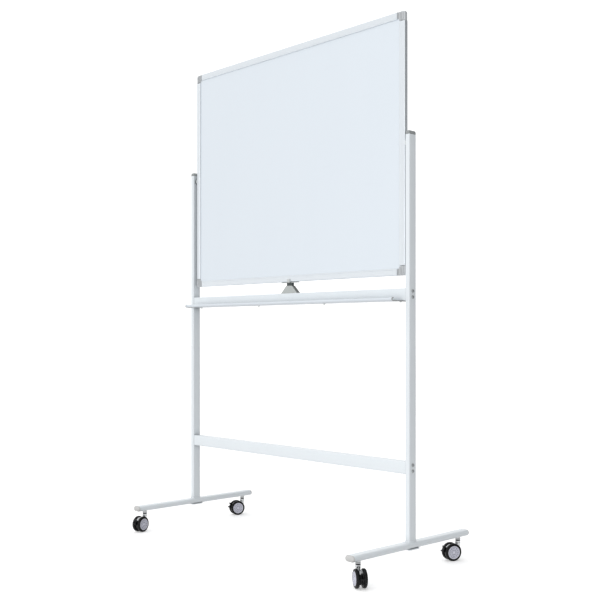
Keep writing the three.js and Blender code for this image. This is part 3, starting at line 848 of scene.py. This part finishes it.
def build_bracket():
    low, high = node_box("latch_bracket")
    base_half = (high.x - low.x) / 2
    top_half = LATCH_BLOCK_WIDTH / 2 + GAP + BRACKET_SHEET
    rings = []
    for t in (0.0, 0.012, 0.25, 0.5, 0.75, 0.988, 1.0):
        half = base_half + (top_half - base_half) * t
        z = low.z + (high.z - low.z) * t
        rings.append([Vector((u, v, z)) for u, v in bracket_section(half, high.y - low.y)])
    sheet = loft(rings)
    make_piece("latch_bracket_sheet", [(sheet, "bracket")], "stand", ["latch_bracket"])


def build_guide_and_spring():
    low, high = node_box("latch_guide_pin")
    pin = prism(circle_family(2.2, 24), low.z, high.z, "z", 0.5)
    make_piece("latch_guide_rod", [(pin, "zinc")], "stand", ["latch_guide_pin"])
    low, high = node_box("latch_spring")
    start, end = low.z + SPRING_WIRE, high.z - SPRING_WIRE
    radius = high.x - SPRING_WIRE
    steps = SPRING_TURNS * 28
    coil = []
    for i in range(steps + 1):
        angle = 2 * math.pi * SPRING_TURNS * i / steps
        height = start + (end - start) * i / steps
        coil.append(Vector((radius * math.cos(angle), radius * math.sin(angle), height)))
    spring = make_piece("latch_coil", [(sweep(coil, SPRING_WIRE, 8), "zinc")], "stand",
                        ["latch_spring"])
    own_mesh(spring)


def build_catch():
    """The sliding block, its thumb wings and the two prongs that hold the board's bottom rail."""
    low, high = node_box("latch_catch")
    wing_bottom = high.z - 14.4
    wing_top = wing_bottom + WING_THICKNESS
    block_top = wing_bottom + 0.2
    half = LATCH_BLOCK_WIDTH / 2
    outline = rectangle_family(2 * half, 13.4, 0.9, 4)
    pocket_top = low.z + 18.0
    skirt = tube(outline, 1.5, low.z, pocket_top + 0.2, "z")
    crown = prism(outline, pocket_top, block_top, "z", 0.3)
    parts = [(skirt, "dark"), (crown, "dark")]
    for i in range(4):
        z = block_top - 2.4 - i * 2.3
        ridge = block((1.4 - half, -6.9, z - 0.55), (half - 1.4, -6.4, z + 0.55), 0.15)
        parts.append((ridge, "dark"))
    wings = prism(rectangle_family(high.x - low.x, 11, 3.2), wing_bottom, wing_top, "z", 0.8)
    parts.append((wings, "zinc"))
    for side in (-1, 1):
        for i in range(5):
            x = side * (26 + i * 3.8)
            ridge = block((x - 0.7, -4.2, wing_top - 0.4), (x + 0.7, 4.2, wing_top + 0.35), 0.3)
            parts.append((ridge, "zinc"))
    yoke = prism(rectangle_family(14, high.y - low.y, 1.2), wing_bottom, wing_top, "z", 0.6)
    parts.append((yoke, "zinc"))
    for side in (-1, 1):
        outer = side * high.y
        inner = side * (high.y - PRONG_THICKNESS)
        shape = soften([(outer, wing_bottom + 0.4), (outer, high.z - 2.4), (outer - side * 1.2, high.z),
                        (inner + side * 1.0, high.z), (inner, high.z - 1.6), (inner, wing_bottom + 0.4)],
                       0.9, 4)
        parts.append((prism(fixed_outline(shape), -7, 7, "x", 0.6), "zinc"))
    make_piece("latch_catch_assembly", parts, "latch", ["latch_catch"])


# ---- writing board

def rail_outline(half_depth):
    """A rail's section as (out from the inner edge, depth): a groove, a rounded back, the panel's slot."""
    front = [(0.0, 1.1 - half_depth), (0.35, 0.35 - half_depth), (1.1, -half_depth)]
    front += [(5.0, -half_depth), (5.4, 0.45 - half_depth), (5.8, -half_depth)]
    front += arc((RAIL_FACE - RAIL_RADIUS, RAIL_RADIUS - half_depth), RAIL_RADIUS, -90, 0, 10)
    back = [(a, -b) for a, b in reversed(front)]
    slot = [(0.0, RAIL_SLOT_WIDTH / 2), (RAIL_SLOT_DEPTH, RAIL_SLOT_WIDTH / 2),
            (RAIL_SLOT_DEPTH, -RAIL_SLOT_WIDTH / 2), (0.0, -RAIL_SLOT_WIDTH / 2)]
    return front + back + slot


def build_rail(node):
    low, high = node_box(node)
    outline = rail_outline(high.y)
    upright = node in ("left_rail", "right_rail")
    material = "rail_z" if upright else "rail_x"
    start, end = (low.z, high.z) if upright else (low.x, high.x)
    inner = {"left_rail": high.x, "right_rail": low.x, "top_rail": low.z, "bottom_rail": high.z}[node]
    outward = 1 if node in ("right_rail", "top_rail") else -1
    rings = []
    for along in (start, start + 0.3, end - 0.3, end):
        ring = []
        for a, b in outline:
            place = inner + outward * a
            ring.append(Vector((place, b, along)) if upright else Vector((along, b, place)))
        rings.append(ring)
    make_piece(f"{node}_extrusion", [(loft(rings), material)], "board", [node])


def build_corner(node):
    """A moulded corner: a chamfered block with a rounded back and four raised ribs on each face."""
    low, high = node_box(node)
    side = -1 if "left" in node else 1
    end = -1 if "bottom" in node else 1
    leg = high.x - low.x
    chamfer = CORNER_CHAMFER
    radius = CORNER_RADIUS
    half = high.y - CORNER_RIB_RISE
    inner_edges = soften([(0, leg), (0, chamfer), (chamfer, 0), (leg, 0)], 1.2, 3, closed=False)
    outline = inner_edges + [(leg, 0.6)] + arc((leg - radius, leg - radius), radius, 0, 90, 12)
    body_mesh = prism(fixed_outline(outline), -half, half, "y", 3.8, 7)
    parts = [(body_mesh, "grey")]
    for i in range(CORNER_RIBS):
        u = CORNER_RIB_START + i * CORNER_RIB_PITCH
        bottom = max(chamfer - u, 0) + 2.4
        top = leg - 3.0 if u < leg - radius else leg - 6.0
        for face in (-1, 1):
            edge = face * high.y
            shape = rectangle_family(CORNER_RIB_WIDTH, top - bottom, 1.0, 3)
            reach = sorted((edge, edge - face * 2.8))
            rib = prism(shape, reach[0], reach[1], "y", 0.5, 3, at=(u, (top + bottom) / 2))
            parts.append((rib, "grey"))
    mirror = Matrix.Diagonal((side, 1, end, 1))
    inner_corner = Matrix.Translation((low.x if side > 0 else high.x, 0, low.z if end > 0 else high.z))
    for mesh, _ in parts:
        moved(mesh, inner_corner @ mirror)
        bmesh.ops.recalc_face_normals(mesh, faces=mesh.faces)
    make_piece(f"{node}_moulding", parts, "board", [node])


def build_pivot(side_name):
    """The pin that the board hangs on: a collar, a nylon washer and a turned shank."""
    node = f"{side_name}_pivot_pin"
    side = SIDES[side_name]
    board_edge = max(abs(c.x) for c in node_box(f"{side_name}_rail"))
    post_face = min(abs(c.x) for c in node_box(f"{side_name}_post"))
    tip = max(abs(c.x) for c in node_box(node))
    z = node_centre(node).z
    middle = (board_edge + post_face) / 2
    collar = board_edge + GAP
    steel = lathe([(0, board_edge - 8), (3.9, board_edge - 8), (3.9, collar), (9.4, collar),
                   (10, board_edge + 0.8), (10, middle - 0.6), (9.5, middle - 0.2), (5, middle - 0.2),
                   (5, tip - 1), (4.2, tip), (0, tip)], "x", 48)
    nylon = shifted(turned_ring(soften([(5.1, 0), (9.6, 0), (9.6, 4.2), (5.1, 4.2)], 0.5), "x"), middle)
    turn = Matrix.Translation((0, 0, z)) @ half_turn(side)
    make_piece(f"{node}_turned", [(steel, "zinc"), (nylon, "dark")],
               "board", [node], turn)


# ---- casters
# Each is built about its stem, its wheels trailing along -Y, and then turned to its own heading.

def caster_placing(name):
    swivel = JOINTS[f"{name}_swivel"]["pos_m"]
    axle = JOINTS[f"{name}_outer_spin"]["axis"]
    heading = math.atan2(axle[1], axle[0])
    return Matrix.Translation((swivel[0] / MM, swivel[1] / MM, 0)) @ Matrix.Rotation(heading, 4, "Z")


def caster_sizes(name):
    """The trail and the axle's height, in millimetres."""
    swivel = Vector(JOINTS[f"{name}_swivel"]["pos_m"])
    axle = Vector(JOINTS[f"{name}_outer_spin"]["pos_m"])
    return (axle - swivel).to_2d().length / MM, axle.z / MM


def build_stem(name):
    node = f"{name}_stem"
    low, high = node_box(node)
    foot_bottom = node_box(f"{'left' if 'left' in name else 'right'}_foot")[0].z
    nut = prism(hexagon_family(16.0), foot_bottom - 4.6, foot_bottom - 0.4, "z", 0.7)
    collar = shifted(washer(9.3, 4.2, 1.5, "z"), z=foot_bottom - 6.5)
    thread = []
    turns = 14
    for i in range(turns + 1):
        z = low.z + 0.8 + (high.z - low.z - 1.6) * i / turns
        thread.extend([(4.0, z), (3.55, z + 0.6)])
    rod = lathe([(0, low.z), (3.4, low.z), *thread, (3.2, high.z + 0.4), (0, high.z + 0.4)], "z", 32)
    parts = [(nut, "chrome"), (collar, "chrome"), (rod, "zinc")]
    make_piece(f"{node}_threaded", parts, "stand", [node], caster_placing(name))


def build_caster_frame(name):
    """The swivelling frame: a chrome neck and hood strap on a black body that carries the axle."""
    node = f"{name}_caster_frame"
    trail, axle_z = caster_sizes(name)
    at = (-trail, axle_z)
    fan = soften(arc((0, 0), 25.6, 22, 216, 30) + arc((0, 0), 21, 226, 370, 24), 0.8, 2)
    body = prism(fixed_outline(fan), -STRAP_HALF_WIDTH, 1.2, "x", 0.9, 3, at=at)
    # A black ring fills the dark groove between the neck and its top collar.
    groove_ring = turned_ring(soften([(4.6, 69.4), (8.4, 69.4), (8.4, 72.6), (4.6, 72.6)], 0.3), "z", 48)
    make_piece(f"{name}_caster_body", [(body, "caster"), (groove_ring, "caster")],
               f"{name}_caster", (), caster_placing(name))
    strap_shape = arc((0, 0), STRAP_RADIUS, 20, 141, 28) + arc((0, 0), 25.2, 141, 20, 28)
    strap = prism(fixed_outline(strap_shape), -STRAP_HALF_WIDTH, STRAP_HALF_WIDTH, "x", 0.4, 3, at=at)
    ribs = []
    for degrees in (108, 117, 126, 135):
        rib = block((-5.2, -1.1, 26.4), (5.2, 1.1, 27.7), 0.5)
        ribs.append(moved(rib, Matrix.Translation((0, -trail, axle_z))
                          @ Matrix.Rotation(math.radians(degrees - 90), 4, "X")))
    bridge = block((-5.0, -11, 46), (5.0, 6.6, 59), 1.2)
    neck_profile = [(0, 57.8), (8.4, 57.8), (9.2, 58.6), (9.2, 62.0), (8.7, 62.5), (8.7, 63.1),
                    (9.2, 63.6), (9.2, 68.4), (8.4, 69.2), (5.0, 69.2), (5.0, 72.7), (8.4, 72.7),
                    (9.2, 73.3), (9.2, 74.6), (8.6, 75.2), (4.4, 75.2), (4.35, 64.0), (0, 64.0)]
    neck = lathe(neck_profile, "z", 48)
    axle = prism(circle_family(AXLE_RADIUS, 28), -AXLE_HALF_LENGTH, AXLE_HALF_LENGTH, "x", 0.4, at=at)
    parts = [(mesh, "chrome") for mesh in (strap, bridge, neck, axle, *ribs)]
    make_piece(f"{node}_pressed", parts, f"{name}_caster", [node], caster_placing(name))


def tyre_profile(radius, width):
    """Section of the tyre and its black web: (radius, from the inner face outwards)."""
    tread = [(radius - 4.0, 0.2), (radius - 1.8, 0.9), (radius - 0.45, 2.6), (radius, 4.8),
             (radius, width - 4.6), (radius - 0.35, width - 2.9), (radius - 1.4, width - 1.5),
             (radius - 2.9, width - 0.75)]
    wall = [(radius - 3.6, width - 1.15), (radius - 4.3, width - 0.5), (radius - 5.2, width - 0.05),
            (radius - 7.2, width), (radius - 8.0, width - 0.5), (radius - TYRE_FACE, width - 1.4)]
    inside = [(radius - TYRE_FACE, width - 3.4), (3.4, width - 3.4), (3.4, 0.3), (8.4, 0.3), (9.0, 1.4),
              (radius - 8.5, 1.4), (radius - 7.6, 0.4)]
    return tread + wall + inside


def hub_floor(radius, width):
    """The disc's recessed floor, painted a darker grey as shade, and the step that holds it in the wheel."""
    start = width - 3.3
    edge = radius - TYRE_FACE - 0.05
    return [(0, start), (edge, start), (edge, width - 1.9), (0, width - 1.9)]


def hub_rings(radius, width):
    """The disc's raised rings, each as (inner radius, outer radius, height of its top)."""
    edge = radius - TYRE_FACE - 0.1
    return ((edge - 3.0, edge, width - 0.1), (10.2, 12.2, width - 0.7), (0.05, 5.2, width - 0.5))


def build_wheel(name, which):
    node = f"{name}_wheel_{which}"
    trail, axle_z = caster_sizes(name)
    side = 1 if which == "outer" else -1
    tyre = turned_ring(tyre_profile(axle_z, WHEEL_WIDTH), "x", 96)
    # The recessed floor takes the darkened hub grey: painted shade between the raised rings and ribs.
    floor = lathe(hub_floor(axle_z, WHEEL_WIDTH), "x", 72)
    parts = [(tyre, "tyre"), (floor, "hub_floor")]
    disc = WHEEL_WIDTH - DISC_DEPTH
    for inner, outer, top in hub_rings(axle_z, WHEEL_WIDTH):
        outline = soften([(inner, disc), (outer, disc), (outer, top), (inner, top)], 0.5)
        parts.append((turned_ring(outline, "x", 72), "hub"))
    for count, inner, outer, half_width in ((14, 13.2, 18.6, 1.5), (6, 6.2, 9.4, 1.1)):
        for i in range(count):
            rib = block((disc, -half_width, inner), (WHEEL_WIDTH - 0.8, half_width, outer), 0.5)
            parts.append((moved(rib, Matrix.Rotation(2 * math.pi * i / count, 4, "X")), "hub"))
    for i in range(12):
        web = block((0.5, -0.8, 9.5), (1.7, 0.8, axle_z - 8.0), 0.3)
        parts.append((moved(web, Matrix.Rotation(2 * math.pi * i / 12, 4, "X")), "tyre"))
    seat = Matrix.Translation((side * WHEEL_INNER_FACE, -trail, axle_z)) @ half_turn(side)
    make_piece(f"{node}_moulded", parts, f"{name}_{which}_wheel", [node],
               caster_placing(name) @ seat)


def build_pedal(name):
    """The brake pedal: a plate on the axle, an arm, a ribbed tread and a smaller release lobe above it."""
    node = f"{name}_brake_pedal"
    trail, axle_z = caster_sizes(name)
    start, end = PEDAL_PLATE
    plate = turned_ring(soften([(3.3, start), (17.0, start), (17.0, end), (3.3, end)], 0.5), "x", 64)
    arm_shape = soften([(-8.0, -14.0), (-8.0, 9.0), (-22, 9.4), (-26, 11.4), (-31.6, 18.4), (-35.4, 16.0),
                        (-33.6, 6.4), (-39.6, 2.0), (-39.6, -2.0), (-31, -3.4), (-24.0, -13.0)], 1.2, 3)
    arm = prism(fixed_outline(arm_shape), start, end, "x", 0.6)
    tread = block((-8.5, -40.3, -2.4), (8.5, -33.0, 2.2), 1.3)
    lobe = block((-6.0, -37.0, 12.8), (6.4, -31.4, 19.0), 1.4)
    parts = [(mesh, "caster") for mesh in (plate, arm, tread, lobe)]
    for i in range(6):
        x = -6.0 + i * 2.4
        parts.append((block((x - 0.55, -39.6, 1.7), (x + 0.55, -34.0, 2.9), 0.3), "caster"))
    seat = Matrix.Translation((0, -trail, axle_z)) @ Matrix.Rotation(-math.radians(PEDAL_TILT), 4, "X")
    make_piece(f"{node}_moulded", parts, f"{name}_pedal", [node], caster_placing(name) @ seat)


# ---- assembly

def build_object():
    for side_name in SIDES:
        build_post(side_name)
        build_post_cap(side_name)
        build_foot(side_name)
        build_foot_plate(side_name)
        build_pivot(side_name)
        for end_name in ("front", "rear"):
            build_foot_cap(end_name, side_name)
        for level in ("upper", "lower"):
            build_bolts(f"{level}_{side_name}_bolts")
        for level in ("top", "bottom"):
            build_corner(f"{level}_{side_name}_corner")
    for level in ("upper", "lower"):
        build_crossbar(f"{level}_crossbar")
    build_tray()
    for number in range(1, 5):
        build_tray_screw(number)
    build_bracket()
    build_guide_and_spring()
    build_catch()
    for node in ("left_rail", "right_rail", "top_rail", "bottom_rail"):
        build_rail(node)
    for node, material in (("front_sheet", "enamel"), ("rear_sheet", "enamel"), ("panel_core", "core")):
        dress_node(node, material)
    for name in CASTERS:
        build_stem(name)
        build_caster_frame(name)
        build_pedal(name)
        for which in ("outer", "inner"):
            build_wheel(name, which)


# ---- studio

def build_floor():
    """A wide pale floor, a little lit from within as a studio's light table is."""
    mesh = bmesh.new()
    bmesh.ops.create_circle(mesh, cap_ends=True, radius=60.0, segments=96)
    data = bpy.data.meshes.new("studio_floor")
    mesh.to_mesh(data)
    mesh.free()
    floor = bpy.data.objects.new("studio_floor", data)
    bpy.context.scene.collection.objects.link(floor)
    s = Shader("studio_floor", (0.93, 0.93, 0.93), 0.8, Emission_Color=(1, 1, 1, 1), Emission_Strength=0.3)
    s.shader.inputs["Specular IOR Level"].default_value = 0.0
    s.vary_roughness(s.noise(3, 2), 0.05)
    floor.data.materials.append(s.done())
    floor.visible_diffuse = False


def build_world():
    """A white surround that lights less from four directions, so that the object's sides read."""
    world = bpy.data.worlds.new("studio")
    bpy.context.scene.world = world
    world.use_nodes = True
    nodes, links = world.node_tree.nodes, world.node_tree.links
    background = nodes["Background"]
    direction = nodes.new("ShaderNodeTexCoord").outputs["Generated"]
    level = None
    for toward, start, end, darkest in SURROUND_DIMMING:
        facing = nodes.new("ShaderNodeVectorMath")
        facing.operation = "DOT_PRODUCT"
        facing.inputs[1].default_value = Vector(toward).normalized()
        links.new(direction, facing.inputs[0])
        dimming = nodes.new("ShaderNodeMapRange")
        dimming.interpolation_type = "SMOOTHSTEP"
        set_range(dimming, start, end, 1.0, darkest)
        links.new(facing.outputs["Value"], dimming.inputs["Value"])
        if level is None:
            level = dimming.outputs["Result"]
        else:
            product = nodes.new("ShaderNodeMath")
            product.operation = "MULTIPLY"
            links.new(level, product.inputs[0])
            links.new(dimming.outputs["Result"], product.inputs[1])
            level = product.outputs["Value"]
    # The surround lights the object unevenly, but is plain white where it is seen directly.
    backdrop = nodes.new("ShaderNodeMath")
    backdrop.operation = "MAXIMUM"
    links.new(level, backdrop.inputs[0])
    links.new(nodes.new("ShaderNodeLightPath").outputs["Is Camera Ray"], backdrop.inputs[1])
    strength = nodes.new("ShaderNodeMath")
    strength.operation = "MULTIPLY"
    strength.inputs[1].default_value = SURROUND_STRENGTH
    links.new(backdrop.outputs["Value"], strength.inputs[0])
    links.new(strength.outputs["Value"], background.inputs["Strength"])
    background.inputs["Color"].default_value = (1.0, 1.0, 1.0, 1.0)


def add_area_light(name, place, target, size, power):
    data = bpy.data.lights.new(name, "AREA")
    data.shape = "DISK"
    data.size = size
    data.energy = power
    light = bpy.data.objects.new(name, data)
    light.location = place
    light.rotation_mode = "QUATERNION"
    light.rotation_quaternion = (Vector(target) - Vector(place)).to_track_quat("-Z", "Y")
    bpy.context.scene.collection.objects.link(light)


def build_lights():
    middle = (cad_box[0] + cad_box[1]) / 2
    add_area_light("key", (2.2, -2.8, 1.3), middle, 1.8, 14)
    add_area_light("top", (0.0, 0.0, 4.2), middle, 3.0, 8)


def build_camera():
    """Level camera at seated eye height, in front and to the right, with a small upward shift."""
    eye_height = cad_box[1].z * EYE_HEIGHT_SHARE
    aim = Vector((CAMERA_AIM_X, 0.0, eye_height))
    azimuth = math.radians(CAMERA_AZIMUTH)
    back = Vector((math.sin(azimuth), -math.cos(azimuth), 0))
    data = bpy.data.cameras.new("camera")
    data.sensor_width = 36.0
    data.lens = CAMERA_LENS_MM
    data.shift_y = CAMERA_SHIFT
    data.clip_end = 60.0
    camera = bpy.data.objects.new("camera", data)
    camera.location = aim + back * CAMERA_DISTANCE
    camera.rotation_mode = "QUATERNION"
    camera.rotation_quaternion = (-back).to_track_quat("-Z", "Y")
    bpy.context.scene.collection.objects.link(camera)
    bpy.context.scene.camera = camera


build_camera()
build_object()
build_floor()
build_world()
build_lights()
bpy.context.scene.view_settings.view_transform = "Standard"
